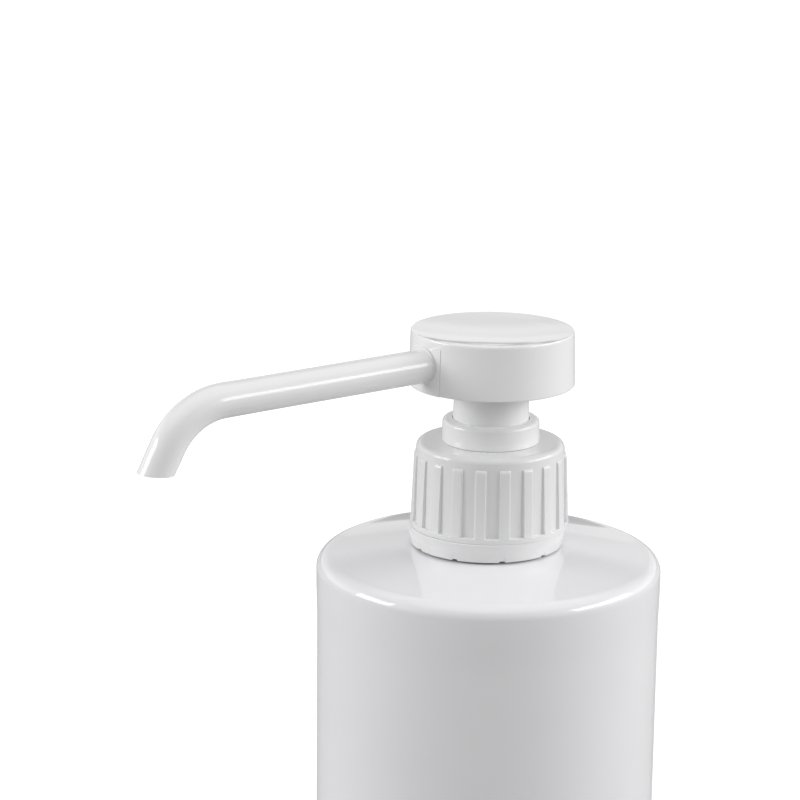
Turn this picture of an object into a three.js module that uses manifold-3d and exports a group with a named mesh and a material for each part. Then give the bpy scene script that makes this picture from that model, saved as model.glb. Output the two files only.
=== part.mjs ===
// Condiment pump dispenser: a one-litre bottle with a ribbed screw collar and a press pump,
// whose wide round head carries a long spout bent down at its end.
// Millimetres, +Z up. The origin is the centre of the bottle's base, and the spout runs along -X.

import * as THREE from 'three';
import { mergeVertices } from 'three/addons/utils/BufferGeometryUtils.js';
import Module from 'manifold-3d';

const wasm = await Module();
wasm.setup();

// ---------------------------------------------------------------- driving dimensions

const BITE = 0.3; // how far joined shapes run into each other
const OVERSHOOT = 2; // how far a cutting shape runs past what it cuts
const CUT_REACH = 6; // half the size of an end-cutting block, in radii of the tube it cuts
const FACETS = { bottle: 36, collar: 40, turned: 24, small: 16, ball: 14 };

const HEAD_TOP = 240;

const BOTTLE = {
  radius: 45.1, wall: 1.6, floor: 1.8, baseRound: 4, shoulderZ: 179.85, shoulderRound: 3.8,
  domeRise: 3.05, domeInner: 19.6, domeSwell: 0.25, domeSteps: 3, neckFillet: 0.2,
  panelDepth: 0.25, panelLow: 15, panelHigh: 167, panelStep: 1,
};
const NECK = {
  radius: 17.3, bore: 15.6, top: 205.2, beadRadius: 17.9, beadLow: 188.9, beadHigh: 190.3, beadEdge: 0.3,
};
const THREAD = {
  pitch: 4.2333, turns: 1.25, low: 193.6, crest: 18.45, rootWidth: 2.4, crestWidth: 1.2,
  nutCrest: 17.65, nutRootWidth: 2, nutCrestWidth: 1, nutDrop: 1.65,
};
const COLLAR = {
  low: 188.25, high: 210.5, plateLow: 208.8, hole: 12, bore: 18.75, topBore: 17.7, boreHigh: 204.6,
  boreChamfer: 1, ledgeRadius: 20.75, ledgeHigh: 189.65, coreLow: 19.75, coreHigh: 19.3, shoulderRound: 1.8,
};
const RIBS = {
  count: 20, turn: 2.5, width: 2.65, high: 207.4, outLow: 20.55, outMiddle: 19.9, outTop: 19.5,
  rootRadius: 18.9, chamferLow: 205, chamferHigh: 206.8,
};
const BAND = {
  low: 183.4, high: 187.95, outHigh: 20.25, outLow: 19.9, inner: 19.05, lipRound: 0.5,
  shift: 1.03, shiftTurn: 195, notches: 10, notchTurn: -113.7, notchWidth: 1.5, notchHeight: 0.4,
};
const GUIDE = {
  bore: 10.35, sleeve: 11.65, flange: 12.6, foot: 210.8, high: 216.6, low: 203, round: 1.1,
  grooveRadius: 11.15, grooveLow: 204.5, grooveHigh: 206.7,
};
const CYLINDER = {
  bore: 12, outer: 13.3, flange: 17.2, flangeLow: 207, flangeHigh: 208.5, floorHigh: 170, floorLow: 168.4,
  chamber: 5.3, chamberWall: 6.6, chamberLow: 166.6, throat: 2.6, seatLow: 163.9, throatLow: 162.3,
  socketOuter: 5.4, socketBore: 3.9, socketLow: 150, socketHigh: 161, chamberTaper: 1.4, edge: 0.7,
};
const GASKET = { inner: 13.7, outer: 17.1, low: 205.5, high: 206.7 };
const WIPER = { inner: 10.2, outer: 10.85, low: 204.8, high: 206.4 };
const DIP_TUBE = { outer: 3.55, bore: 2.6, low: 4.8, high: 162, cutAngle: 35 };
const INLET_BALL = { radius: 4, z: 167.38 };
const CAGE = {
  low: 170.3, plateHigh: 171.7, plateRadius: 11.5, towerOuter: 5.9, towerInner: 4.8,
  barLow: 173.3, high: 174.6, barWidth: 2.4, windowWidth: 5, windowLow: 171.9,
};
const SPRING = {
  wire: 0.6, coil: 8.6, turns: 6, low: 172, high: 194.2, steps: 12, wireSides: 6, endCrowding: 0.7,
};
const PISTON = {
  low: 194.5, high: 202.7, outer: 11.4, bore: 4.95, grooveRadius: 9.6, grooveLow: 196.3, grooveHigh: 200.9,
  dishRadius: 8, dishSlope: 1, dishDepth: 1.2, footChamfer: 1, footDepth: 0.6,
};
const SEAL = {
  inner: 9.9, low: 196.6, high: 200.6, lip: 11.8, lipDepth: 0.8, lipEdge: 11.55,
  waist: 11.2, waistDepth: 1.6,
};
const ROD = {
  outer: 4.6, bore: 2.2, low: 191.6, high: 229.5, lipRadius: 5.6, lipLow: 192.2, lipHigh: 194.2,
  lipChamfer: 0.5, chamber: 3.6, seatLow: 223.4, seatHigh: 224.8,
};
const OUTLET_BALL = { radius: 3, z: 225.87 };
const RETAINER = { outer: 4.55, inner: 3.4, low: 230.4, high: 231.2, barWidth: 1.4 };
const SLEEVE = {
  low: 203, high: 227.5, inner: 8.65, outLow: 10, outHigh: 9.6, taperLow: 214, taperHigh: 224.6,
  beadLow: 224.9, bead: 10.05,
};
const CAP = {
  low: 225.8, outLow: 21.5, outHigh: 21.1, inner: 19.85, rimRound: 0.6, dishRadius: 20.3, rimDrop: 0.05,
  dishDepth: 1.6, dishSteps: 4, roof: 1.1, roofThickening: 1.1, roofRound: 1,
  notchWidth: 12.4, notchHigh: 238,
};
const CORE = {
  low: 221.5, bossRadius: 8.3, bore: 4.95, boreHigh: 235.9, discRadius: 19.5, discLow: 235.6, high: 237,
  ridgeHigh: 237.2, socketOuter: 4.9, socketBore: 3.6, socketFrom: 9.2, channel: 2.6,
  faceWidth: 12, faceInner: 19.9, faceProud: 0.1, faceHigh: 237.8,
};
const SPOUT = {
  z: 233.3, droop: 1.2, outer: 4.3, bore: 2.6, spigot: 3.3, spigotFrom: 9.5, root: 21.85,
  flare: 4.7, flareEdge: 0.2, flareLength: 1, straight: 80.1, bendRadius: 17.9, bend: 60.6,
  tip: 7.1, tipExtra: 8.6, tipTilt: 6, steps: 28, sectionPoints: 6,
};

// ---------------------------------------------------------------- finishes

const gloss = (hex, roughness) => new THREE.MeshStandardMaterial({ color: hex, roughness, metalness: 0 });
const WHITE = {
  bottle: gloss(0xf4f4f6, 0.12),
  collar: gloss(0xf3f3f4, 0.25),
  head: gloss(0xf5f5f6, 0.15),
  spout: gloss(0xf6f6f7, 0.18),
};
const NATURAL = gloss(0xe9ebe8, 0.35);
const SEAL_GREY = gloss(0xc9ccce, 0.6);
const STEEL = new THREE.MeshStandardMaterial({ color: 0xb9bcc0, roughness: 0.3, metalness: 1 });

// ---------------------------------------------------------------- shape tools

function solid(geometry) {
  const bare = geometry.clone();
  bare.deleteAttribute('normal');
  bare.deleteAttribute('uv');
  const merged = mergeVertices(bare);
  const corners = merged.index.array;
  const triangles = [];
  for (let i = 0; i < corners.length; i += 3) {
    const [a, b, c] = corners.slice(i, i + 3);
    if (a !== b && b !== c && c !== a) triangles.push(a, b, c);
  }
  return new wasm.Manifold(new wasm.Mesh({
    numProp: 3,
    vertProperties: new Float32Array(merged.attributes.position.array),
    triVerts: new Uint32Array(triangles),
  }));
}

function piece(name, shape, finish) {
  const { vertProperties, triVerts } = shape.getMesh();
  const geometry = new THREE.BufferGeometry();
  geometry.setAttribute('position', new THREE.Float32BufferAttribute(vertProperties, 3));
  geometry.setIndex(new THREE.Uint32BufferAttribute(triVerts, 1));
  geometry.computeVertexNormals();
  const mesh = new THREE.Mesh(geometry, finish);
  mesh.name = name;
  return mesh;
}

// A profile is a list of [radius, height] that runs counter-clockwise.
function turnedGeometry(profile, facets) {
  const points = profile.map(([r, z]) => new THREE.Vector2(r, z));
  return new THREE.LatheGeometry(points, facets).rotateX(Math.PI / 2);
}

const turned = (profile, facets = FACETS.turned) => solid(turnedGeometry(profile, facets));
const hollow = (profile, facets) => turned([...profile, profile[0]], facets);

function plugProfile(radius, low, high) {
  return [[0, low], [radius, low], [radius, high], [0, high]];
}

const plug = (radius, low, high, facets) => turned(plugProfile(radius, low, high), facets);

function ring(inner, outer, low, high, facets) {
  return hollow([[inner, low], [outer, low], [outer, high], [inner, high]], facets);
}

// Evenly spaced values from start to end, both included.
function between(start, end, steps) {
  return Array.from({ length: steps + 1 }, (_, i) => start + ((end - start) * i) / steps);
}

function arc(r, z, radius, from, to, steps) {
  return between(from, to, steps).map((degrees) => {
    const angle = THREE.MathUtils.degToRad(degrees);
    return [r + radius * Math.cos(angle), z + radius * Math.sin(angle)];
  });
}

function blockGeometry(low, high) {
  const [width, depth, height] = high.map((value, i) => value - low[i]);
  const middle = high.map((value, i) => (value + low[i]) / 2);
  return new THREE.BoxGeometry(width, depth, height).translate(...middle);
}

const block = (low, high) => solid(blockGeometry(low, high));

// Winds a flat section of [radius, height] points round +Z; climb gives the rise at each turn count.
function wound(section, turns, stepsPerTurn, climb) {
  const outline = new THREE.Shape(section.map(([r, z]) => new THREE.Vector2(r, z)));
  const settings = { depth: turns, steps: Math.round(turns * stepsPerTurn), bevelEnabled: false };
  const geometry = new THREE.ExtrudeGeometry(outline, settings);
  const place = geometry.attributes.position;
  for (let i = 0; i < place.count; i += 1) {
    const turn = turns - place.getZ(i);
    const angle = turn * 2 * Math.PI;
    const radius = place.getX(i);
    place.setXYZ(i, radius * Math.cos(angle), radius * Math.sin(angle), place.getY(i) + climb(turn));
  }
  return solid(geometry);
}

function threadRidge(root, crest, rootWidth, crestWidth, low, stepsPerTurn) {
  const section = [
    [root, -rootWidth / 2], [crest, -crestWidth / 2], [crest, crestWidth / 2], [root, rootWidth / 2],
  ];
  return wound(section, THREAD.turns, stepsPerTurn, (turn) => low + THREAD.pitch * turn);
}

// ---------------------------------------------------------------- bottle

function domeHeight(radius) {
  const edge = BOTTLE.radius - BOTTLE.shoulderRound;
  const inward = (edge - radius) / (edge - BOTTLE.domeInner);
  return BOTTLE.shoulderZ + BOTTLE.domeRise * inward * (1 + BOTTLE.domeSwell * (1 - inward));
}

function makeBottle() {
  const { radius, wall, floor, baseRound, shoulderZ, shoulderRound, domeInner, neckFillet } = BOTTLE;
  const panel = radius - BOTTLE.panelDepth;
  const edge = radius - shoulderRound;
  const dome = between(edge, domeInner, BOTTLE.domeSteps).slice(1).map((r) => [r, domeHeight(r)]);
  const inside = panel - wall;
  const profile = [
    [0, 0],
    ...arc(radius - baseRound, baseRound, baseRound, -90, 0, 3),
    [radius, BOTTLE.panelLow - BOTTLE.panelStep],
    [panel, BOTTLE.panelLow],
    [panel, BOTTLE.panelHigh],
    [radius, BOTTLE.panelHigh + BOTTLE.panelStep],
    ...arc(edge, shoulderZ - shoulderRound, shoulderRound, 0, 90, 4),
    ...dome,
    [NECK.radius, domeHeight(domeInner) + neckFillet],
    [NECK.radius, NECK.beadLow],
    [NECK.beadRadius, NECK.beadLow + NECK.beadEdge],
    [NECK.beadRadius, NECK.beadHigh - NECK.beadEdge],
    [NECK.radius, NECK.beadHigh],
    [NECK.radius, NECK.top],
    [NECK.bore, NECK.top],
    [NECK.bore, domeHeight(domeInner) - wall / 2],
    [domeInner, domeHeight(domeInner) - wall],
    [edge, shoulderZ - wall],
    [inside, shoulderZ - shoulderRound],
    [inside, baseRound],
    [inside - baseRound + floor, floor],
    [0, floor],
  ];
  const { crest, rootWidth, crestWidth, low } = THREAD;
  const thread = threadRidge(NECK.radius - BITE, crest, rootWidth, crestWidth, low, FACETS.bottle);
  return turned(profile, FACETS.bottle).add(thread);
}

// ---------------------------------------------------------------- screw collar and tamper band

function makeRib(index) {
  const { rootRadius, outLow, outMiddle, outTop, chamferLow, chamferHigh, high, width } = RIBS;
  const side = [
    [rootRadius, COLLAR.ledgeHigh - BITE], [outLow, COLLAR.ledgeHigh - BITE],
    [outMiddle, chamferLow], [outTop, chamferHigh], [rootRadius, high],
  ];
  const outline = new THREE.Shape(side.map(([r, z]) => new THREE.Vector2(r, z)));
  const geometry = new THREE.ExtrudeGeometry(outline, { depth: width, bevelEnabled: false });
  geometry.translate(0, 0, -width / 2).rotateX(Math.PI / 2);
  const turn = ((index + 0.5) * 360) / RIBS.count + RIBS.turn;
  geometry.rotateZ(THREE.MathUtils.degToRad(turn));
  return solid(geometry);
}

function makeCollar() {
  const { low, high, hole, bore, shoulderRound, coreHigh } = COLLAR;
  const profile = [
    [bore, low],
    [COLLAR.ledgeRadius, low],
    [COLLAR.ledgeRadius, COLLAR.ledgeHigh],
    [COLLAR.coreLow, COLLAR.ledgeHigh],
    ...arc(coreHigh - shoulderRound, high - shoulderRound, shoulderRound, 0, 90, 4),
    [hole, high],
    [hole, COLLAR.plateLow],
    [COLLAR.topBore, COLLAR.plateLow],
    [COLLAR.topBore, COLLAR.boreHigh],
    [bore, COLLAR.boreHigh - COLLAR.boreChamfer],
  ];
  const { nutCrest, nutRootWidth, nutCrestWidth, nutDrop } = THREAD;
  const threadLow = THREAD.low - nutDrop;
  const thread = threadRidge(bore + BITE, nutCrest, nutRootWidth, nutCrestWidth, threadLow, FACETS.collar);
  let collar = hollow(profile, FACETS.collar).add(thread);
  for (let i = 0; i < RIBS.count; i += 1) collar = collar.add(makeRib(i));
  return collar;
}

function makeBand() {
  const { low, high, inner, outLow, outHigh, lipRound, notches, notchWidth, notchHeight } = BAND;
  let band = hollow([
    [inner, low], [outLow - lipRound, low], [outLow, low + lipRound], [outHigh, high], [inner, high],
  ], FACETS.collar);
  for (let i = 0; i < notches; i += 1) {
    const turn = THREE.MathUtils.degToRad(BAND.notchTurn) + (i * 2 * Math.PI) / notches;
    const cut = blockGeometry(
      [inner - OVERSHOOT, -notchWidth / 2, low - OVERSHOOT],
      [outHigh + OVERSHOOT, notchWidth / 2, low + notchHeight],
    );
    band = band.subtract(solid(cut.rotateZ(turn)));
  }
  return band;
}

function placeBand(mesh) {
  const turn = THREE.MathUtils.degToRad(BAND.shiftTurn);
  mesh.position.set(BAND.shift * Math.cos(turn), BAND.shift * Math.sin(turn), 0);
  return mesh;
}

// ---------------------------------------------------------------- fixed parts of the pump

function makeGuide() {
  const { bore, sleeve, flange, foot, high, low, round, grooveRadius, grooveLow, grooveHigh } = GUIDE;
  return hollow([
    [bore, low], [sleeve, low], [sleeve, foot], [flange, foot],
    ...arc(flange - round, high - round, round, 0, 90, 3),
    [bore, high], [bore, grooveHigh], [grooveRadius, grooveHigh],
    [grooveRadius, grooveLow], [bore, grooveLow],
  ]);
}

function makeCylinder() {
  const c = CYLINDER;
  return hollow([
    [c.socketBore, c.socketLow], [c.socketOuter, c.socketLow], [c.socketOuter, c.socketHigh],
    [c.chamberWall, c.socketHigh + c.chamberTaper], [c.chamberWall, c.floorLow],
    [c.outer - c.edge, c.floorLow], [c.outer, c.floorLow + c.edge], [c.outer, c.flangeLow],
    [c.flange, c.flangeLow], [c.flange, c.flangeHigh],
    [c.bore, c.flangeHigh], [c.bore, c.floorHigh], [c.chamber, c.floorHigh], [c.chamber, c.chamberLow],
    [c.throat, c.seatLow], [c.throat, c.throatLow], [c.socketBore, c.throatLow],
  ]);
}

function makeDipTube() {
  const { outer, bore, low, high, cutAngle } = DIP_TUBE;
  const reach = CUT_REACH * outer;
  const cut = blockGeometry([-reach, -reach, -reach], [reach, reach, 0]);
  cut.rotateY(THREE.MathUtils.degToRad(cutAngle)).translate(-outer, 0, low);
  return ring(bore, outer, low, high, FACETS.small).subtract(solid(cut));
}

function makeBall({ radius, z }) {
  const sphere = new THREE.SphereGeometry(radius, FACETS.ball, FACETS.ball / 2);
  return solid(sphere.rotateX(Math.PI / 2).translate(0, 0, z));
}

function makeCage() {
  const c = CAGE;
  const tower = hollow([
    [c.towerInner, c.low], [c.plateRadius, c.low], [c.plateRadius, c.plateHigh], [c.towerOuter, c.plateHigh],
    [c.towerOuter, c.high], [c.towerInner, c.high],
  ]);
  const bar = block(
    [-c.towerInner - BITE, -c.barWidth / 2, c.barLow],
    [c.towerInner + BITE, c.barWidth / 2, c.high],
  );
  const window = block(
    [-c.windowWidth / 2, -c.towerOuter - OVERSHOOT, c.windowLow],
    [c.windowWidth / 2, c.towerOuter + OVERSHOOT, c.barLow],
  );
  return tower.subtract(window).add(bar);
}

function makeSpring() {
  const { wire, coil, turns, low, high, steps, wireSides, endCrowding } = SPRING;
  const section = arc(coil, 0, wire, 0, 360 - 360 / wireSides, wireSides - 1);
  const rise = high - low - 2 * wire;
  const climb = (turn) => {
    const share = turn / turns;
    const eased = share - (endCrowding * Math.sin(share * 2 * Math.PI)) / (2 * Math.PI);
    return low + wire + rise * eased;
  };
  return wound(section, turns, steps, climb);
}

// ---------------------------------------------------------------- piston and stem

function makePiston() {
  const p = PISTON;
  return hollow([
    [p.bore, p.low + p.footDepth], [p.bore + p.footChamfer, p.low], [p.outer, p.low],
    [p.outer, p.grooveLow], [p.grooveRadius, p.grooveLow], [p.grooveRadius, p.grooveHigh],
    [p.outer, p.grooveHigh], [p.outer, p.high], [p.dishRadius, p.high],
    [p.dishRadius - p.dishSlope, p.high - p.dishDepth], [p.bore, p.high - p.dishDepth],
  ]);
}

function makeSeal() {
  const { inner, low, high, lip, lipDepth, lipEdge, waist, waistDepth } = SEAL;
  return hollow([
    [inner, low], [lipEdge, low], [lip, low + lipDepth], [waist, low + waistDepth],
    [waist, high - waistDepth], [lip, high - lipDepth], [lipEdge, high], [inner, high],
  ]);
}

function makeRod() {
  const r = ROD;
  return hollow([
    [r.bore, r.low], [r.lipRadius - r.lipChamfer, r.low], [r.lipRadius, r.lipLow], [r.lipRadius, r.lipHigh],
    [r.outer, r.lipHigh], [r.outer, r.high], [r.chamber, r.high],
    [r.chamber, r.seatHigh], [r.bore, r.seatLow],
  ], FACETS.small);
}

function makeRetainer() {
  const { outer, inner, low, high, barWidth } = RETAINER;
  const bar = block([-inner - BITE, -barWidth / 2, low], [inner + BITE, barWidth / 2, high]);
  return ring(inner, outer, low, high, FACETS.small).add(bar);
}

function makeSleeve() {
  const s = SLEEVE;
  return hollow([
    [s.inner, s.low], [s.outLow, s.low], [s.outLow, s.taperLow], [s.outHigh, s.taperHigh],
    [s.bead, s.beadLow], [s.bead, s.high], [s.inner, s.high],
  ]);
}

// ---------------------------------------------------------------- press head

function dishHeight(radius) {
  const share = 1 - (radius / CAP.dishRadius) ** 2;
  return HEAD_TOP - CAP.rimDrop - CAP.dishDepth * share;
}

function makeCap() {
  const { low, outLow, outHigh, inner, rimRound, dishRadius, roof, roofRound, notchWidth, notchHigh } = CAP;
  const dish = between(dishRadius, 0, CAP.dishSteps).map((r) => [r, dishHeight(r)]);
  const shell = turned([
    [0, dishHeight(0) - roof],
    [inner - roofRound, dishHeight(inner - roofRound) - roof],
    [inner, dishHeight(inner) - roof - CAP.roofThickening],
    [inner, low],
    [outLow, low],
    ...arc(outHigh - rimRound, HEAD_TOP - rimRound, rimRound, 0, 90, 3),
    ...dish,
  ], FACETS.bottle);
  const notch = block(
    [-outLow - OVERSHOOT, -notchWidth / 2, low - OVERSHOOT],
    [-inner + OVERSHOOT, notchWidth / 2, notchHigh],
  );
  return shell.subtract(notch);
}

// A shape turned about +Z is laid along the spout's axis, its height becoming the distance from the stem.
function alongSpout(profile, facets = FACETS.small) {
  const lean = -Math.PI / 2 - THREE.MathUtils.degToRad(SPOUT.droop);
  return solid(turnedGeometry(profile, facets).rotateY(lean).translate(0, 0, SPOUT.z));
}

function capRadius(z) {
  return CAP.outLow + ((CAP.outHigh - CAP.outLow) * (z - CAP.low)) / (HEAD_TOP - CAP.low);
}

function makeFacePlate() {
  const { faceWidth, faceInner, faceProud, faceHigh } = CORE;
  const curve = hollow([
    [faceInner, CAP.low],
    [capRadius(CAP.low) + faceProud, CAP.low],
    [capRadius(faceHigh) + faceProud, faceHigh],
    [faceInner, faceHigh],
  ], FACETS.bottle);
  const width = block(
    [-CAP.outLow - OVERSHOOT, -faceWidth / 2, CAP.low - OVERSHOOT],
    [0, faceWidth / 2, HEAD_TOP],
  );
  return curve.intersect(width);
}

function makeCore() {
  const c = CORE;
  const boss = plug(c.bossRadius, c.low, c.high);
  const disc = plug(c.discRadius, c.discLow, c.high);
  const web = block([-c.faceInner - BITE, -c.faceWidth / 2, c.discLow], [0, c.faceWidth / 2, c.high]);
  const ceiling = block([-CAP.outLow, -c.faceWidth, c.low], [0, c.faceWidth, c.ridgeHigh]);
  const socket = alongSpout(plugProfile(c.socketOuter, 0, c.faceInner + BITE)).intersect(ceiling);
  return boss
    .add(disc)
    .add(web)
    .add(socket)
    .add(makeFacePlate())
    .subtract(plug(c.bore, c.low - OVERSHOOT, c.boreHigh, FACETS.small))
    .subtract(alongSpout(plugProfile(c.channel, 0, c.socketFrom + BITE)))
    .subtract(alongSpout(plugProfile(c.socketBore, c.socketFrom, SPOUT.root + OVERSHOOT)));
}

// ---------------------------------------------------------------- spout

class SpoutLine extends THREE.Curve {
  constructor(from, tipExtra) {
    super();
    this.from = from;
    this.bend = THREE.MathUtils.degToRad(SPOUT.bend);
    this.bendEnd = SPOUT.straight + SPOUT.bendRadius * this.bend;
    this.total = this.bendEnd + SPOUT.tip + tipExtra;
  }

  getPoint(share) {
    const along = this.from + (this.total - this.from) * share;
    const droop = THREE.MathUtils.degToRad(SPOUT.droop);
    const straight = Math.min(along, SPOUT.straight);
    const turn = THREE.MathUtils.clamp((along - SPOUT.straight) / SPOUT.bendRadius, 0, this.bend);
    const tip = Math.max(along - this.bendEnd, 0);
    const angle = droop + turn;
    const bendOut = SPOUT.bendRadius * (Math.sin(angle) - Math.sin(droop));
    const bendDown = SPOUT.bendRadius * (Math.cos(droop) - Math.cos(angle));
    const out = straight * Math.cos(droop) + bendOut + tip * Math.cos(angle);
    const down = straight * Math.sin(droop) + bendDown + tip * Math.sin(angle);
    return new THREE.Vector3(-out, 0, SPOUT.z - down);
  }
}

function spoutTube(radius, from, tipExtra) {
  const circle = new THREE.Shape();
  circle.absarc(0, 0, radius, 0, 2 * Math.PI);
  return solid(new THREE.ExtrudeGeometry(circle, {
    steps: SPOUT.steps,
    curveSegments: SPOUT.sectionPoints,
    extrudePath: new SpoutLine(from, tipExtra),
  }));
}

function makeSpout() {
  const { outer, bore, spigot, spigotFrom, root, flare, flareEdge, flareLength, tipExtra, tipTilt } = SPOUT;
  const fillet = arc(0, 0, 1, 0, 90, 4).map(([across, up]) => [
    flare - (flare - outer) * up,
    root + flareLength - (flareLength - flareEdge) * across,
  ]);
  const collar = alongSpout([[0, root], [flare, root], ...fillet, [0, root + flareLength]]);
  const spigotPiece = alongSpout(plugProfile(spigot, spigotFrom, root + OVERSHOOT));
  const tipEnd = new SpoutLine(0, 0).getPoint(1);
  const reach = CUT_REACH * outer;
  const cut = blockGeometry([-reach, -reach, -reach], [reach, reach, 0]);
  cut.rotateY(THREE.MathUtils.degToRad(-tipTilt)).translate(tipEnd.x, 0, tipEnd.z);
  return spoutTube(outer, root + BITE, tipExtra)
    .add(collar)
    .add(spigotPiece)
    .subtract(spoutTube(bore, spigotFrom - OVERSHOOT, tipExtra + OVERSHOOT))
    .subtract(solid(cut));
}

// ---------------------------------------------------------------- the dispenser

const dispenser = new THREE.Group();
dispenser.add(
  piece('bottle', makeBottle(), WHITE.bottle),
  piece('screw_collar', makeCollar(), WHITE.collar),
  placeBand(piece('tamper_band', makeBand(), WHITE.collar)),
  piece('neck_gasket', ring(GASKET.inner, GASKET.outer, GASKET.low, GASKET.high), SEAL_GREY),
  piece('pump_cylinder', makeCylinder(), NATURAL),
  piece('guide_ring', makeGuide(), WHITE.collar),
  piece('stem_wiper', ring(WIPER.inner, WIPER.outer, WIPER.low, WIPER.high), SEAL_GREY),
  piece('dip_tube', makeDipTube(), NATURAL),
  piece('inlet_ball', makeBall(INLET_BALL), STEEL),
  piece('ball_cage', makeCage(), NATURAL),
  piece('return_spring', makeSpring(), STEEL),
  piece('piston', makePiston(), NATURAL),
  piece('piston_seal', makeSeal(), SEAL_GREY),
  piece('piston_rod', makeRod(), NATURAL),
  piece('outlet_ball', makeBall(OUTLET_BALL), STEEL),
  piece('outlet_retainer', makeRetainer(), NATURAL),
  piece('stem_sleeve', makeSleeve(), WHITE.head),
  piece('head_core', makeCore(), WHITE.head),
  piece('head_cap', makeCap(), WHITE.head),
  piece('spout_tube', makeSpout(), WHITE.spout),
);

export default dispenser;
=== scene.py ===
"""A condiment pump dispenser: a glossy white one-litre bottle with a ribbed screw collar and a press pump.

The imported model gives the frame. Every piece is rebuilt here with a fine surface, in metres, in that frame:
+Z up, the bottle's axis on the Z axis, and the spout along -X.
"""

import math

import bmesh
import bpy
from mathutils import Matrix, Vector, noise


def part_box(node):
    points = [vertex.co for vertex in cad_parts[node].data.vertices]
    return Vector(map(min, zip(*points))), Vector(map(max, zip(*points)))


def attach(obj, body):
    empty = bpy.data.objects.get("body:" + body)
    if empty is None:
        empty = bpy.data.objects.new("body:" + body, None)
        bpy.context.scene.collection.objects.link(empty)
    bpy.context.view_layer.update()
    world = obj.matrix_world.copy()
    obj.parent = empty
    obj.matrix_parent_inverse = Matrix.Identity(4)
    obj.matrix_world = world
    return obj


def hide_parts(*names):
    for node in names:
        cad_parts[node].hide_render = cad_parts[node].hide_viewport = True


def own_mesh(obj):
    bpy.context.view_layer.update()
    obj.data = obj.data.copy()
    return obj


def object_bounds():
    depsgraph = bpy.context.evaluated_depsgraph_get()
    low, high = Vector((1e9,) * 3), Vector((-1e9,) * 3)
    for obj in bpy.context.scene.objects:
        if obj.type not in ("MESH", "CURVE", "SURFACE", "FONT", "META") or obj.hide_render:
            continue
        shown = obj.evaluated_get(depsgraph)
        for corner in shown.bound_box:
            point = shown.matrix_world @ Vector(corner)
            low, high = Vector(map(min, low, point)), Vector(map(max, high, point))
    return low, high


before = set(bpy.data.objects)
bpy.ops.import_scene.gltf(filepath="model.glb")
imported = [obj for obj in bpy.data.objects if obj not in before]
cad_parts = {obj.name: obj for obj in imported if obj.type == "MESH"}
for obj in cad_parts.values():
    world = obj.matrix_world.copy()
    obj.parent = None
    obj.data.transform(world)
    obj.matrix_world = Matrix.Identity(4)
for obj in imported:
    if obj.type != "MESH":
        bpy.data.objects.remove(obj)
cad_low, cad_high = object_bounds()

MM = 0.001
TAU = 2 * math.pi


def mm(*sizes):
    """Sizes in millimetres as metres."""
    return tuple(size * MM for size in sizes)


# ---- sizes, from the frame where it gives them


def height_of(node):
    """The lowest and highest point of a CAD node."""
    low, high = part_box(node)
    return low.z, high.z


def radius_of(node):
    """The outer radius of a CAD node that is round about the bottle's axis."""
    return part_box(node)[1].y


HEAD_TOP = cad_high.z
BOTTLE_RADIUS = radius_of("bottle")
NECK_TOP = height_of("bottle")[1]
COLLAR_LOW, COLLAR_HIGH = height_of("screw_collar")
BAND_LOW = height_of("tamper_band")[0]
BAND_CENTRE = sum(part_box("tamper_band"), Vector()) / 2
CAP_LOW = height_of("head_cap")[0]
CAP_RADIUS = radius_of("head_cap")
THREAD_PITCH = 4.2333 * MM
THREAD_TURNS = 1.25
VIEW_TURN = math.radians(-126)  # the direction from the axis towards the camera
WELD = 0.0005 * MM  # anything smaller is removed from a finished mesh
SHARP_ANGLE = math.radians(50)  # an edge sharper than this is shaded as an edge
STRAIGHT = 0.01  # in radians: a corner that turns less than this is no corner
TINY = 1e-7
# Facets round large to small parts, and the angles of a finely stepped quarter turn.
ROUNDEST_COLUMNS, FINE_COLUMNS, CORE_COLUMNS = 240, 192, 120
PLAIN_COLUMNS, RING_COLUMNS, SMALL_COLUMNS = 96, 72, 64
QUARTER_TURN = [math.radians(9 * i) for i in range(11)]
SIDE_SHARE = 0.49  # the share of a side that one corner's fillet may use
THREAD_START = (-0.04, 0.06)  # in turns: where a thread rises, and below where it falls again
THREAD_END = (THREAD_TURNS + 0.04, THREAD_TURNS - 0.06)


# ---- mesh tools


def arc(r, z, radius, start, end, steps):
    """Points [r, z] on an arc about (r, z), from one angle to another in degrees."""
    angles = [math.radians(start + (end - start) * i / steps) for i in range(steps + 1)]
    return [(r + radius * math.cos(a), z + radius * math.sin(a)) for a in angles]


def rounded(corners, steps=5):
    """A closed outline of (r, z, fillet) corners, each rounded by its fillet, which is in millimetres."""
    outline = []
    count = len(corners)
    for i, (r, z, fillet) in enumerate(corners):
        here = Vector((r, z))
        before = Vector(corners[i - 1][:2]) - here
        after = Vector(corners[(i + 1) % count][:2]) - here
        angle = before.angle(after)
        if fillet == 0 or angle > math.pi - STRAIGHT:
            outline.append((r, z))
            continue
        reach = min(fillet * MM / math.tan(angle / 2), SIDE_SHARE * before.length, SIDE_SHARE * after.length)
        size = reach * math.tan(angle / 2)
        centre = here + (before.normalized() + after.normalized()).normalized() * size / math.sin(angle / 2)
        first = here + before.normalized() * reach - centre
        last = here + after.normalized() * reach - centre
        sweep = first.angle_signed(last)
        for k in range(steps + 1):
            turned = first.copy()
            turned.rotate(Matrix.Rotation(-sweep * k / steps, 2))
            outline.append(tuple(centre + turned))
    return outline


def even_angles(count):
    """Equal steps all the way round."""
    return [TAU * i / count for i in range(count)]


def add_object(name, data):
    """A mesh, camera or light as an object in the scene."""
    made = bpy.data.objects.new(name, data)
    bpy.context.scene.collection.objects.link(made)
    return made


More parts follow.
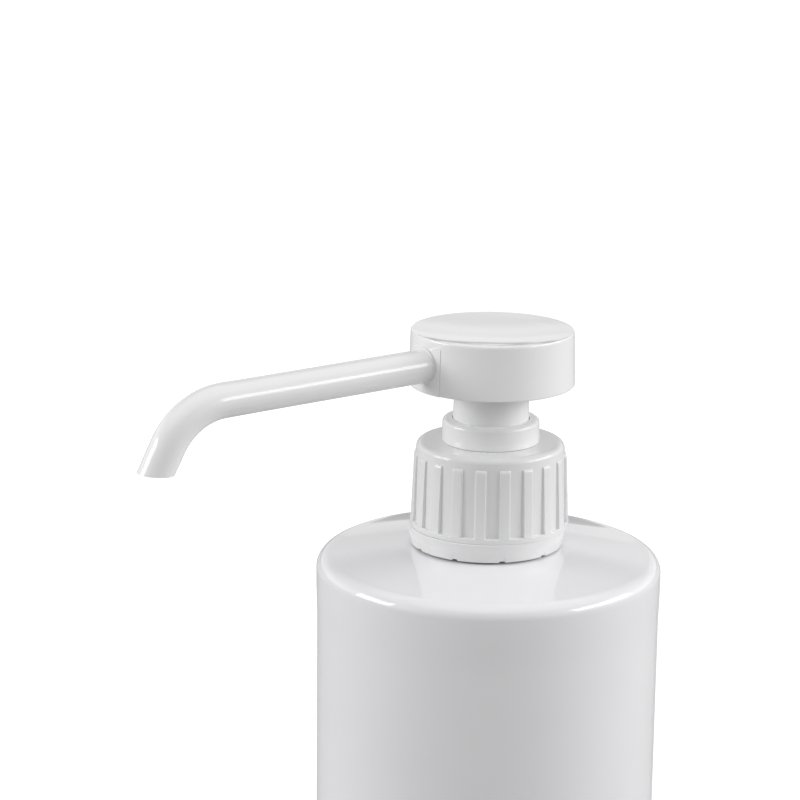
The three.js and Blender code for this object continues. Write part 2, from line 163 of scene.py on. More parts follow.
def piece_from(name, made):
    """A piece out of a bmesh, which is then gone."""
    mesh = bpy.data.meshes.new(name)
    made.to_mesh(mesh)
    made.free()
    return add_object(name, mesh)


def closed_piece(name, vertices, faces):
    """A piece out of points and faces, its faces turned outwards."""
    mesh = bpy.data.meshes.new(name)
    mesh.from_pydata(vertices, [], faces)
    made = bmesh.new()
    made.from_mesh(mesh)
    bmesh.ops.recalc_face_normals(made, faces=made.faces)
    return piece_from(name, made)


def tube_faces(rings, sides, closed):
    """Faces between neighbouring rings of points, and from the last ring to the first if closed."""
    faces = []
    for i in range(rings if closed else rings - 1):
        near, far = i * sides, (i + 1) % rings * sides
        faces += [(near + k, far + k, far + (k + 1) % sides, near + (k + 1) % sides) for k in range(sides)]
    return faces


def revolve(name, profile, angles=FINE_COLUMNS, warp=None, closed=True):
    """Turns a counter-clockwise profile of (r, z) about the Z axis; warp(r, z, angle) may move each point.

    angles is the number of equal steps, or the angles themselves.
    """
    if isinstance(angles, int):
        angles = even_angles(angles)
    columns = len(angles)
    vertices, rows = [], []
    for r, z in profile:
        if r < TINY:
            rows.append([len(vertices)] * columns)
            vertices.append((0, 0, z))
            continue
        row = []
        for angle in angles:
            radius, height = warp(r, z, angle) if warp else (r, z)
            row.append(len(vertices))
            vertices.append((radius * math.cos(angle), radius * math.sin(angle), height))
        rows.append(row)
    pairs = list(zip(rows, rows[1:]))
    if closed:
        pairs.append((rows[-1], rows[0]))
    faces = []
    for low, high in pairs:
        for j in range(columns):
            k = (j + 1) % columns
            corners = [low[j], low[k], high[k], high[j]]
            unique = list(dict.fromkeys(corners))
            if len(unique) > 2:
                faces.append(unique)
    mesh = bpy.data.meshes.new(name)
    mesh.from_pydata(vertices, [], faces)
    mesh.update()
    return add_object(name, mesh)


def rows_between(low, high, step):
    """Even values from low to high, about a step apart."""
    count = max(1, round((high - low) / step))
    return [low + (high - low) * i / count for i in range(count + 1)]


def clamp(x):
    return min(1.0, max(0.0, x))


def smooth(edge0, edge1, x):
    """0 at edge0 and 1 at edge1, eased at both ends."""
    t = clamp((x - edge0) / (edge1 - edge0))
    return t * t * (3 - 2 * t)


def thread_height(z, angle, low, half_root, half_crest):
    """How far a helical thread stands out at a point, from 0 to 1, with run-in and run-out."""
    nearest = round((z - low - THREAD_PITCH * angle / TAU) / THREAD_PITCH)
    best = 0.0
    for turn in (nearest - 1, nearest, nearest + 1):
        along = angle / TAU + turn
        distance = abs(z - low - THREAD_PITCH * along)
        ends = smooth(*THREAD_START, along) * smooth(*THREAD_END, along)
        best = max(best, ends * smooth(half_root, half_crest, distance))
    return best


def combine(target, other, operation):
    """Joins or cuts target with other, which is then gone."""
    modifier = target.modifiers.new("combine", "BOOLEAN")
    modifier.object = other
    modifier.operation = operation
    modifier.solver = "EXACT"
    depsgraph = bpy.context.evaluated_depsgraph_get()
    made = bpy.data.meshes.new_from_object(target.evaluated_get(depsgraph))
    target.modifiers.clear()
    target.data = made
    bpy.data.objects.remove(other)
    return target


def block(low, high):
    """A box between two corners, used to cut other pieces."""
    made = bmesh.new()
    size = Vector(high) - Vector(low)
    centre = (Vector(high) + Vector(low)) / 2
    bmesh.ops.create_cube(made, size=1, matrix=Matrix.Translation(centre) @ Matrix.Diagonal((*size, 1)))
    return piece_from("block", made)


def clean_mesh(mesh):
    """Removes faces and edges that have no size."""
    made = bmesh.new()
    made.from_mesh(mesh)
    bmesh.ops.dissolve_degenerate(made, edges=made.edges, dist=WELD)
    bmesh.ops.remove_doubles(made, verts=made.verts, dist=WELD)
    made.to_mesh(mesh)
    made.free()


def finish_piece(piece, body, material, *nodes, slot=None):
    """Shades a piece, gives it its material, and fixes it to its body in place of its CAD nodes.

    slot is not used.
    """
    clean_mesh(piece.data)
    for face in piece.data.polygons:
        face.use_smooth = True
    piece.data.set_sharp_from_angle(angle=SHARP_ANGLE)
    weighted = piece.modifiers.new("even_shading", "WEIGHTED_NORMAL")
    weighted.mode = "FACE_AREA_WITH_ANGLE"
    weighted.keep_sharp = True
    piece.data.materials.clear()
    piece.data.materials.append(material)
    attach(piece, body)
    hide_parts(*nodes)
    return piece


# ---- materials


def preset(node, **values):
    """Sets inputs of a node that nothing is linked to; an underscore stands for a space in a name."""
    for name, value in values.items():
        node.inputs[name.replace("_", " ")].default_value = value


class Shading:
    """A short way to build a node tree out of ranges, sums and products."""

    def __init__(self, tree):
        self.nodes, self.links = tree.nodes, tree.links

    def value(self, kind, *inputs, **settings):
        node = self.nodes.new(kind)
        for key, setting in settings.items():
            setattr(node, key, setting)
        for socket, given in zip(node.inputs, inputs):
            self.plug(given, socket)
        return node

    def plug(self, given, socket):
        if hasattr(given, "links"):
            self.links.new(given, socket)
        elif given is not None:
            socket.default_value = given

    def range(self, value, low, high, to_low, to_high, ease="SMOOTHSTEP"):
        node = self.value("ShaderNodeMapRange", value, low, high, to_low, to_high, interpolation_type=ease)
        return node.outputs["Result"]

    def math(self, operation, a, b):
        return self.value("ShaderNodeMath", a, b, operation=operation).outputs["Value"]

    def dot(self, vector, direction):
        return self.value("ShaderNodeVectorMath", vector, direction, operation="DOT_PRODUCT").outputs["Value"]


# The noises in a plastic, as (scale, detail): its colour, gloss, flow texture, scratches and grain.
COLOUR_NOISE, GLOSS_NOISE, FLOW_NOISE = (35, 3), (60, 4), (120, 2)
SCRATCH_NOISE, GRAIN_NOISE = (900, 2), (1600, 2)
NOISE_LEVELS = (0.3, 0.7)
SCRATCH_LEVELS = (0.62, 0.74)
SCRATCH_STRETCH = (1, 1, 0.06)
GLOSS_SPREAD = 0.15
FLOW_STRENGTH, FLOW_DEPTH = 0.35, 6
GRAIN_STRENGTH = 0.5


def plastic(name, colour, roughness, grain=0.00002, mottle=0.012, scratch=0.03, clearness=0.0, index=1.5):
    """Moulded plastic: slight cloudiness in its colour, fine flow texture, and faint handling scratches.

    grain is the depth in metres of its finest texture, mottle how far its colour varies, scratch how much
    duller a scratch is, clearness how much light it lets through, and index its index of refraction.
    """
    material = bpy.data.materials.new(name)
    material.use_nodes = True
    shade = Shading(material.node_tree)
    shader = shade.nodes["Principled BSDF"]
    preset(shader, IOR=index, Transmission_Weight=clearness)
    place = shade.nodes.new("ShaderNodeTexCoord").outputs["Object"]

    def clouds(noise_kind, stretch=(1, 1, 1)):
        mapping = shade.value("ShaderNodeMapping", place)
        preset(mapping, Scale=stretch)
        texture = shade.value("ShaderNodeTexNoise", mapping.outputs["Vector"])
        preset(texture, Scale=noise_kind[0], Detail=noise_kind[1])
        return texture.outputs["Fac"]

    def spread(noise_kind, low, high):
        return shade.range(clouds(noise_kind), *NOISE_LEVELS, low, high, "LINEAR")

    def bump(height, strength, distance, before=None):
        made = shade.value("ShaderNodeBump")
        preset(made, Strength=strength, Distance=distance)
        shade.plug(height, made.inputs["Height"])
        shade.plug(before, made.inputs["Normal"])
        return made.outputs["Normal"]

    tint = shade.value("ShaderNodeMix", data_type="RGBA")
    dark, light = [c * (1 - mottle) for c in colour], [min(1, c * (1 + mottle)) for c in colour]
    preset(tint, A=(*dark, 1), B=(*light, 1))
    shade.plug(spread(COLOUR_NOISE, 0, 1), tint.inputs["Factor"])
    shade.plug(tint.outputs["Result"], shader.inputs["Base Color"])

    scratches = clouds(SCRATCH_NOISE, SCRATCH_STRETCH)
    marks = shade.range(scratches, *SCRATCH_LEVELS, 0, scratch, "LINEAR")
    cloud = spread(GLOSS_NOISE, roughness * (1 - GLOSS_SPREAD), roughness * (1 + GLOSS_SPREAD))
    shade.plug(shade.math("ADD", cloud, marks), shader.inputs["Roughness"])

    flow = bump(clouds(FLOW_NOISE), FLOW_STRENGTH, grain * FLOW_DEPTH)
    fine = bump(clouds(GRAIN_NOISE), GRAIN_STRENGTH, grain, flow)
    shade.plug(fine, shader.inputs["Normal"])
    return material


def steel(name, colour, roughness):
    """Drawn stainless wire: metal with fine lines and slight tarnish."""
    material = plastic(name, colour, roughness, grain=0.00001, mottle=0.08, scratch=0.12)
    preset(material.node_tree.nodes["Principled BSDF"], Metallic=1)
    return material


BOTTLE_WHITE = plastic("bottle_white", (0.895, 0.895, 0.91), 0.03, grain=0.000002, index=1.54)
COLLAR_WHITE = plastic("collar_white", (0.855, 0.855, 0.86), 0.12, grain=0.000004)
HEAD_WHITE = plastic("head_white", (0.95, 0.95, 0.955), 0.06, grain=0.000003)
SPOUT_WHITE = plastic("spout_white", (0.9, 0.9, 0.905), 0.07, grain=0.000004)
NATURAL = plastic("natural_plastic", (0.78, 0.8, 0.77), 0.36, clearness=0.15)
SEAL_GREY = plastic("seal_soft", (0.5, 0.52, 0.53), 0.55)
STAINLESS = steel("stainless", (0.6, 0.61, 0.62), 0.24)


# ---- bottle

BOTTLE_WALL = 1.6 * MM
BOTTLE_FLOOR = 1.8 * MM
BASE_ROUND = 4  # in millimetres, as every fillet
BASE_GROOVE = mm(30, 30.5, 33.2, 33.8)  # radii of a shallow groove in the foot's underside
BASE_GROOVE_DEPTH = 0.6 * MM
WALL_LOW = 12 * MM
LABEL_RUN = 6 * MM  # the label area sinks in over this at its foot, and over twice this at its top
LABEL_DEPTH = 0.25 * MM
BEAD_RADIUS = 17.9 * MM
BEAD_EDGES = mm(188.9, 189.2, 190, 190.3)
NECK_FOOT = 182 * MM  # where the neck's bore opens into the bottle
NECK_THREAD = mm(191, 203)  # the part of the neck that carries the thread
NECK_THREAD_LOW = 193.6 * MM
NECK_THREAD_DEPTH = 1.15 * MM
NECK_THREAD_ROOT, NECK_THREAD_CREST = mm(1.25, 0.5)
WAVE_DEPTH, WAVE_SCALE, WAVE_CLIMB = 0.02 * MM, 2.2, 28
SWELL_DEPTH, SWELL_SCALE, SWELL_PLACE = 0.03 * MM, 90, Vector((3, 7, 1))
SEAM_DEPTH, SEAM_WIDTH, SEAM_ON_DOME = 0.04 * MM, 0.16 * MM, 0.1
NECK_RADIUS = 17.3 * MM
NECK_BORE = 15.6 * MM
SHOULDER_ROUND = 3.8 * MM
SHOULDER_Z = NECK_TOP - 25.35 * MM
DOME_INNER = 19.6 * MM
DOME_RISE = 3.05 * MM
DOME_CROWN = 0.25


def dome_z(r):
    """Height of the bottle's slightly domed shoulder at a distance from the axis."""
    edge = BOTTLE_RADIUS - SHOULDER_ROUND
    inward = (edge - r) / (edge - DOME_INNER)
    return SHOULDER_Z + DOME_RISE * inward * (1 + DOME_CROWN - DOME_CROWN * inward)


def label_depth(z):
    """1 in the very slightly recessed label area, easing to 0 above and below it."""
    foot = smooth(WALL_LOW, WALL_LOW + LABEL_RUN, z)
    return foot * smooth(SHOULDER_Z - LABEL_RUN, SHOULDER_Z - 3 * LABEL_RUN, z)


def bottle_profile():
    edge = BOTTLE_RADIUS - SHOULDER_ROUND
    base = rounded([
        (0.001 * MM, 0, 0), (BASE_GROOVE[0], 0, 0.3), (BASE_GROOVE[1], BASE_GROOVE_DEPTH, 0.3),
        (BASE_GROOVE[2], BASE_GROOVE_DEPTH, 0.3), (BASE_GROOVE[3], 0, 0.4),
        (BOTTLE_RADIUS, 0, BASE_ROUND), (BOTTLE_RADIUS, WALL_LOW - 1 * MM, 0),
    ])[1:]
    wall_rows = rows_between(WALL_LOW, SHOULDER_Z - SHOULDER_ROUND - 1 * MM, 3 * MM)
    upper = [(BOTTLE_RADIUS - LABEL_DEPTH * label_depth(z), z) for z in wall_rows]
    shoulder = arc(edge, SHOULDER_Z - SHOULDER_ROUND, SHOULDER_ROUND, 0, 80, 14)
    dome = [(r, dome_z(r)) for r in rows_between(-edge + 0.2 * MM, -DOME_INNER, 0.9 * MM)]
    dome = [(-r, dome_z(-r)) for r, _ in dome]
    neck = rounded([
        (DOME_INNER, dome_z(DOME_INNER), 0), (NECK_RADIUS, dome_z(DOME_INNER) + 0.25 * MM, 0.3),
        (NECK_RADIUS, BEAD_EDGES[0], 0.2), (BEAD_RADIUS, BEAD_EDGES[1], 0.25),
        (BEAD_RADIUS, BEAD_EDGES[2], 0.25), (NECK_RADIUS, BEAD_EDGES[3], 0.2),
        (NECK_RADIUS, NECK_THREAD[0], 0),
    ])[1:-1]
    threaded = [(NECK_RADIUS, z) for z in rows_between(*NECK_THREAD, 0.2 * MM)]
    inner = BOTTLE_RADIUS - BOTTLE_WALL
    inside = rounded([
        (NECK_RADIUS, NECK_THREAD[1] + 0.5 * MM, 0), (NECK_RADIUS, NECK_TOP, 0.5),
        (NECK_BORE, NECK_TOP, 0.5), (NECK_BORE, NECK_FOOT, 1.5),
        (DOME_INNER, dome_z(DOME_INNER) - BOTTLE_WALL, 1), (edge, SHOULDER_Z - BOTTLE_WALL, 2),
        (inner, SHOULDER_Z - 5 * MM, 2), (inner, 2 * MM, BASE_ROUND), (0.001 * MM, BOTTLE_FLOOR, 0),
    ])[1:-1]
    return [(0, 0), *base, *upper, *shoulder, *dome, *neck, *threaded, *inside, (0, BOTTLE_FLOOR)]


def bottle_warp(r, z, angle):
    """The neck's thread, the mould's parting lines, and the slight waviness of a blown wall."""
    if r == NECK_RADIUS and NECK_THREAD[0] - 0.1 * MM < z < NECK_THREAD[1] + 0.1 * MM:
        stand = thread_height(z, angle, NECK_THREAD_LOW, NECK_THREAD_ROOT, NECK_THREAD_CREST)
        return r + NECK_THREAD_DEPTH * stand, z
    outside = r > DOME_INNER + 0.4 * MM and z > 1 * MM
    if not outside:
        return r, z
    direction = Vector((math.cos(angle), math.sin(angle), 0))
    wave = noise.noise(direction * WAVE_SCALE + Vector((0, 0, z * WAVE_CLIMB))) * WAVE_DEPTH
    across = math.cos(angle - VIEW_TURN)
    seam = math.exp(-((across * r / SEAM_WIDTH) ** 2)) * SEAM_DEPTH
    if z > SHOULDER_Z - 1 * MM:
        swell = noise.noise(direction * (r * SWELL_SCALE) + SWELL_PLACE) * SWELL_DEPTH
        return r, z + swell + SEAM_ON_DOME * seam
    return r + wave + seam, z


def build_bottle():
    piece = revolve("bottle_shell", bottle_profile(), ROUNDEST_COLUMNS, bottle_warp, closed=False)
    finish_piece(piece, "bottle_body", BOTTLE_WHITE, "bottle")


# ---- collar and tamper band

RIB_COUNT = 20
RIB_TURN = math.radians(2.5)
RIB_TOP = COLLAR_HIGH - 3.1 * MM
LEDGE_Z = COLLAR_LOW + 1.4 * MM
LEDGE_RADIUS = radius_of("screw_collar")
RIB_CROWN = 0.02  # the share of its height that a rib's face falls off by at its sides
RIB_FLAT, RIB_FACE, RIB_EDGE, RIB_WALL, RIB_FOOT = 2.8, 3.35, 3.75, 4.05, 4.4  # degrees from its middle
RIB_EDGE_LOW, RIB_WALL_LOW = 0.76, 0.06  # the share of the height left at RIB_EDGE and RIB_WALL
RIB_END, RIB_END_POWER = 1.25 * MM, 2.4  # the length and shape of its run-out at the top
RIB_FOOT_FLARE, RIB_FOOT_RUN = mm(0.12, 0.5)
CORE_LOW_RADIUS, CORE_TAPER = mm(19.75, 0.45)
RIB_LOW_RADIUS, RIB_HIGH_RADIUS = mm(20.62, 19.85)
COLLAR_BORE, COLLAR_UPPER_BORE, COLLAR_HOLE = mm(18.75, 17.7, 12)
COLLAR_PLATE = 1.7 * MM
COLLAR_ROUND = 1.8 * MM
BORE_TOP, BORE_STEP = mm(204.6, 203.8)
COLLAR_THREAD_LOW = 191.95 * MM
COLLAR_THREAD_DEPTH = 1.1 * MM
COLLAR_THREAD_ROOT, COLLAR_THREAD_CREST = mm(1.05, 0.45)
RIB_STATIONS = (0, 1.4, 2.6, 3.1, 3.35, 3.5, 3.63, 3.75, 3.85, 3.95, 4.05, 4.2, 4.4, 5, 6, 7.5, 9)


def rib_angles():
    """Angles round the collar, close together at the ribs' edges."""
    pitch = 360 / RIB_COUNT
    offsets = [-s for s in reversed(RIB_STATIONS[1:-1])] + list(RIB_STATIONS)
    middles = [pitch * (i + 0.5) for i in range(RIB_COUNT)]
    return [math.radians(middle + offset) + RIB_TURN for middle in middles for offset in offsets]


def rib_height(angle):
    """1 on a rib's face and 0 in a groove, with rounded edges and a small fillet at the foot."""
    pitch = TAU / RIB_COUNT
    away = abs(((angle - RIB_TURN) / pitch) % 1 - 0.5) * math.degrees(pitch)
    if away <= RIB_FACE:
        return 1 - RIB_CROWN * smooth(RIB_FLAT, RIB_FACE, away)
    if away <= RIB_EDGE:
        share = (away - RIB_FACE) / (RIB_EDGE - RIB_FACE)
        return 1 - RIB_CROWN - (1 - RIB_CROWN - RIB_EDGE_LOW) * share ** 2
    if away <= RIB_WALL:
        return RIB_EDGE_LOW - (RIB_EDGE_LOW - RIB_WALL_LOW) * (away - RIB_EDGE) / (RIB_WALL - RIB_EDGE)
    return RIB_WALL_LOW * (1 - smooth(RIB_WALL, RIB_FOOT, away))


def collar_core(z):
    """Radius of the collar in its grooves."""
    return CORE_LOW_RADIUS - CORE_TAPER * (z - LEDGE_Z) / (COLLAR_HIGH - LEDGE_Z)


def rib_radius(z):
    """Radius of the collar on its ribs."""
    return RIB_LOW_RADIUS + (RIB_HIGH_RADIUS - RIB_LOW_RADIUS) * (z - LEDGE_Z) / (RIB_TOP - LEDGE_Z)


def collar_warp(r, z, angle):
    """The ribs, which widen at their foot and run out at their top, and the thread in the bore."""
    on_ribs = LEDGE_Z - 0.01 * MM <= z <= RIB_TOP + 0.05 * MM and r > COLLAR_BORE + 0.25 * MM
    if on_ribs:
        from_top = clamp((z - (RIB_TOP - RIB_END)) / RIB_END)
        cap = math.sqrt(clamp(1 - from_top ** RIB_END_POWER))
        target = rib_radius(z) + RIB_FOOT_FLARE * (1 - smooth(LEDGE_Z, LEDGE_Z + RIB_FOOT_RUN, z))
        return r + (target - r) * rib_height(angle) * cap, z
    if abs(r - COLLAR_BORE) < 0.15 * MM and z < NECK_THREAD[1] + 0.6 * MM:
        stand = thread_height(z, angle, COLLAR_THREAD_LOW, COLLAR_THREAD_ROOT, COLLAR_THREAD_CREST)
        return r - COLLAR_THREAD_DEPTH * stand, z
    return r, z


def build_collar():
    foot = rounded([
        (COLLAR_BORE, COLLAR_LOW + 2 * MM, 0), (COLLAR_BORE, COLLAR_LOW, 0.25),
        (LEDGE_RADIUS, COLLAR_LOW, 0.15), (LEDGE_RADIUS, LEDGE_Z - 0.03 * MM, 0.18),
        (collar_core(LEDGE_Z), LEDGE_Z + 0.03 * MM, 0.15),
        (collar_core(LEDGE_Z), LEDGE_Z + 1 * MM, 0),
    ])[1:-1]
    wall = [(collar_core(z), z) for z in rows_between(LEDGE_Z + 0.6 * MM, RIB_TOP - 1.5 * MM, 1 * MM)]
    rib_ends = [(collar_core(z), z) for z in rows_between(RIB_TOP - 1.3 * MM, RIB_TOP + 0.1 * MM, 0.1 * MM)]
    top = arc(collar_core(COLLAR_HIGH) - COLLAR_ROUND, COLLAR_HIGH - COLLAR_ROUND, COLLAR_ROUND, 4, 90, 12)
    inside = rounded([
        (COLLAR_HOLE + 3 * MM, COLLAR_HIGH, 0), (COLLAR_HOLE, COLLAR_HIGH, 0.3),
        (COLLAR_HOLE, COLLAR_HIGH - COLLAR_PLATE, 0.3),
        (COLLAR_UPPER_BORE, COLLAR_HIGH - COLLAR_PLATE, 0.5), (COLLAR_UPPER_BORE, BORE_TOP, 0.3),
        (COLLAR_BORE, BORE_STEP, 0.3), (COLLAR_BORE, NECK_THREAD[1], 0),
    ])[1:-1]
    thread_rows = rows_between(COLLAR_LOW + 2 * MM, NECK_THREAD[1] + 0.3 * MM, 0.25 * MM)
    threaded = [(COLLAR_BORE, z) for z in reversed(thread_rows)]
    profile = [*foot, *wall, *rib_ends, *top, *inside, *threaded]
    piece = revolve("collar_shell", profile, rib_angles(), collar_warp)
    finish_piece(piece, "collar_body", COLLAR_WHITE, "screw_collar")


BAND_NOTCHES = 10
BAND_NOTCH_TURN = math.radians(-113.7)
BAND_SEAM = math.radians(-173.3)
BAND_OUTER, BAND_INNER, BAND_FOOT = mm(20.25, 19.05, 19.7)
BAND_RADIUS = 20 * MM
NOTCH_RISE, NOTCH_HIGH, NOTCH_SIDES = 0.34 * MM, 0.5 * MM, mm(0.6, 0.82)
BAND_SEAM_DEPTH, BAND_SEAM_SIDES = 0.07 * MM, mm(0.05, 0.18)
BAND_WAVE_DEPTH, BAND_WAVE_SCALE, BAND_WAVE_CLIMB = 0.03 * MM, 1.6, 60
NOTCH_STATIONS = mm(0.56, 0.62, 0.68, 0.74, 0.8, 0.86)
BAND_SEAM_STATIONS = mm(-0.2, -0.12, -0.05, 0, 0.05, 0.12, 0.2)
BAND_COLUMNS, CLOSEST_ANGLE = 180, 0.0012


def band_warp(r, z, angle):
    """Broken bridge notches in the band's lower edge, a fine moulding seam, and slight unevenness."""
    pitch = TAU / BAND_NOTCHES
    away = (((angle - BAND_NOTCH_TURN) / pitch + 0.5) % 1 - 0.5) * pitch * r
    edge = 1 - smooth(BAND_LOW, BAND_LOW + NOTCH_HIGH, z)
    notch = NOTCH_RISE * (1 - smooth(*NOTCH_SIDES, abs(away))) * edge
    off_seam = abs((angle - BAND_SEAM + math.pi) % TAU - math.pi) * r
    outside = 1 if r > BAND_FOOT - 0.1 * MM else 0
    seam = BAND_SEAM_DEPTH * (1 - smooth(*BAND_SEAM_SIDES, off_seam)) * outside
    place = Vector((math.cos(angle), math.sin(angle), z * BAND_WAVE_CLIMB))
    wave = noise.noise(place * BAND_WAVE_SCALE) * BAND_WAVE_DEPTH
    return r - seam + wave, z + notch


def band_angles():
    """Even angles round the band, with closer ones at each notch's sides and at the seam."""
    angles = set(even_angles(BAND_COLUMNS))
    for i in range(BAND_NOTCHES):
        middle = BAND_NOTCH_TURN + TAU * i / BAND_NOTCHES
        for side in (-1, 1):
            for away in NOTCH_STATIONS:
                angles.add((middle + side * away / BAND_RADIUS) % TAU)
    for away in BAND_SEAM_STATIONS:
        angles.add((BAND_SEAM + away / BAND_RADIUS) % TAU)
    kept = []
    for angle in sorted(angles):
        if not kept or angle - kept[-1] > CLOSEST_ANGLE:
            kept.append(angle)
    return kept


def build_band():
    top = COLLAR_LOW - 0.02 * MM
    profile = rounded([
        (BAND_INNER, BAND_LOW, 0.15), (BAND_FOOT, BAND_LOW, 0.22),
        (BAND_OUTER, BAND_LOW + 2.5 * MM, 3), (BAND_OUTER, top, 0.25),
        (BAND_INNER, top, 0.2), (BAND_INNER, BAND_LOW + 2 * MM, 0),
    ])
    piece = revolve("band_ring", profile, band_angles(), band_warp)
    piece.data.transform(Matrix.Translation((BAND_CENTRE.x, BAND_CENTRE.y, 0)))
    finish_piece(piece, "band_body", COLLAR_WHITE, "tamper_band")


# ---- guide ring and stem


GUIDE_BORE, GUIDE_SLEEVE, GUIDE_TOP_BORE = mm(10.35, 11.65, 10.04)
GUIDE_ROUND = 1.8
GROOVE_RADIUS, GROOVE_LOW, GROOVE_HIGH = mm(11.15, 204.5, 206.7)
SLEEVE_BORE, SLEEVE_FOOT, SLEEVE_WAIST, SLEEVE_TOP = mm(8.65, 10, 9.62, 9.95)
SLEEVE_STRAIGHT = 11 * MM


def build_guide():
    """The ring that guides the stem, with a groove inside for the wiper."""
    low, high = height_of("guide_ring")
    outer = radius_of("guide_ring")
    foot = COLLAR_HIGH + 0.04 * MM
    profile = rounded([
        (GUIDE_BORE, low, 0.2), (GUIDE_SLEEVE, low, 0.3), (GUIDE_SLEEVE, foot, 0.1),
        (outer, foot, 0.2), (outer, high, GUIDE_ROUND), (GUIDE_TOP_BORE, high, 0.08),
        (GUIDE_TOP_BORE, high - 1.5 * MM, 0.1), (GUIDE_BORE, high - 1.8 * MM, 0.1),
        (GUIDE_BORE, GROOVE_HIGH, 0.1), (GROOVE_RADIUS, GROOVE_HIGH, 0.1),
        (GROOVE_RADIUS, GROOVE_LOW, 0.1), (GUIDE_BORE, GROOVE_LOW, 0.1),
    ], steps=8)
    piece = revolve("guide_collar", profile)
    finish_piece(piece, "pump_body", HEAD_WHITE, "guide_ring", slot="collar_white")


def build_sleeve():
    low, high = height_of("stem_sleeve")
    profile = rounded([
        (SLEEVE_BORE, low, 0.2), (SLEEVE_FOOT, low, 0.4), (SLEEVE_FOOT, low + SLEEVE_STRAIGHT, 0),
        (SLEEVE_WAIST, high - 3 * MM, 0.3), (SLEEVE_TOP, high - 2.5 * MM, 0.2),
        (SLEEVE_TOP, high, 0.3), (SLEEVE_BORE, high, 0.2),
    ])
    piece = revolve("stem_shell", profile)
    finish_piece(piece, "head_body", HEAD_WHITE, "stem_sleeve")


# ---- press head

DISH_RADIUS = 20.74 * MM
DISH_DEPTH = 1.6 * MM
RIM_WIDTH = 0.3 * MM
RIM_ROUND = 0.9 * MM
NOTCH_HALF = 6.02 * MM
PLATE_HALF = 6 * MM
PLATE_TOP = HEAD_TOP - 2.1 * MM
PLATE_EDGE = 0.04 * MM
CAP_TOP_RADIUS = CAP_RADIUS - 0.42 * MM
CAP_ROOF, CAP_BORE = mm(1.1, 19.85)
SINK_RADIUS, SINK_WIDTH, SINK_DEPTH = mm(17.4, 1.5, 0.035)
SINK_UNEVEN = 0.4
DISH_WAVE_DEPTH, DISH_WAVE_SCALE, DISH_WAVE_PLACE = 0.045 * MM, 75, Vector((1.7, 4.2, 0.3))
PLATE_BACK = 19.95 * MM
PLATE_STANDS_OUT = 0.05 * MM


def cap_radius(z):
    """The cap's side narrows slightly towards its top."""
    return CAP_RADIUS + (CAP_TOP_RADIUS - CAP_RADIUS) * (z - CAP_LOW) / (HEAD_TOP - CAP_LOW)


def dish_z(r):
    """Height of the dished top at a distance from the axis."""
    return HEAD_TOP - 0.05 * MM - DISH_DEPTH * (1 - (r / DISH_RADIUS) ** 2)


def dish_warp(r, z, angle):
    """Sink marks in the dish, over the thicker plastic beneath it, and a slight unevenness."""
    if z < HEAD_TOP - 2.2 * MM or r > DISH_RADIUS:
        return r, z
    across = Vector((r * math.cos(angle), r * math.sin(angle), 0))
    unevenness = 1 - SINK_UNEVEN + SINK_UNEVEN * math.sin(3 * angle + 1.1)
    ring = math.exp(-((r - SINK_RADIUS) / SINK_WIDTH) ** 2) * unevenness
    wave = noise.noise(across * DISH_WAVE_SCALE + DISH_WAVE_PLACE) * smooth(DISH_RADIUS, 17 * MM, r)
    return r, z - SINK_DEPTH * ring + DISH_WAVE_DEPTH * wave


def build_cap():
    """The head's cup-shaped cap, with a notch in its side for the face plate."""
    dish = [(r, dish_z(r)) for r in reversed(rows_between(0.6 * MM, DISH_RADIUS - 0.1 * MM, 0.5 * MM))]
    shell = rounded([
        (1 * MM, dish_z(0) - CAP_ROOF, 0), (15 * MM, dish_z(15 * MM) - CAP_ROOF, 0),
        (CAP_BORE, dish_z(CAP_BORE) - 2 * CAP_ROOF, 1), (CAP_BORE, CAP_LOW, 0.3),
        (CAP_RADIUS, CAP_LOW, 0.45), (cap_radius(HEAD_TOP - RIM_ROUND), HEAD_TOP - RIM_ROUND, 0),
    ], steps=6)[:-1]
    outer = cap_radius(HEAD_TOP - RIM_ROUND)
    rim = [(outer - RIM_WIDTH * (1 - math.cos(turn)), HEAD_TOP - RIM_ROUND * (1 - math.sin(turn)))
           for turn in QUARTER_TURN]
    lip = [(DISH_RADIUS + 0.02 * MM, HEAD_TOP - 0.01 * MM), (DISH_RADIUS - 0.02 * MM, HEAD_TOP - 0.04 * MM)]
    profile = [(0, dish_z(0) - CAP_ROOF), *shell, *rim, *lip, *dish, (0, dish_z(0))]
    piece = revolve("head_shell", profile, ROUNDEST_COLUMNS, dish_warp, closed=False)
    notch = block(
        (-CAP_RADIUS - 2 * MM, -NOTCH_HALF, CAP_LOW - 2 * MM),
        (-CAP_BORE + 2 * MM, NOTCH_HALF, PLATE_TOP + 0.02 * MM),
    )
    combine(piece, notch, "DIFFERENCE")
    finish_piece(piece, "head_body", HEAD_WHITE, "head_cap")


SPOUT_Z = HEAD_TOP - 6.7 * MM
SPOUT_BORE = 2.6 * MM
SPOUT_START = 9.5 * MM  # from the axis to the spigot's end
SPOUT_DROOP = math.radians(1.2)


def lay_along_spout(piece):
    """Turns a piece made about +Z so that +Z runs out along the spout's axis."""
    lean = Matrix.Rotation(-math.pi / 2 - SPOUT_DROOP, 4, "Y")
    piece.data.transform(Matrix.Translation((0, 0, SPOUT_Z)) @ lean)
    return piece


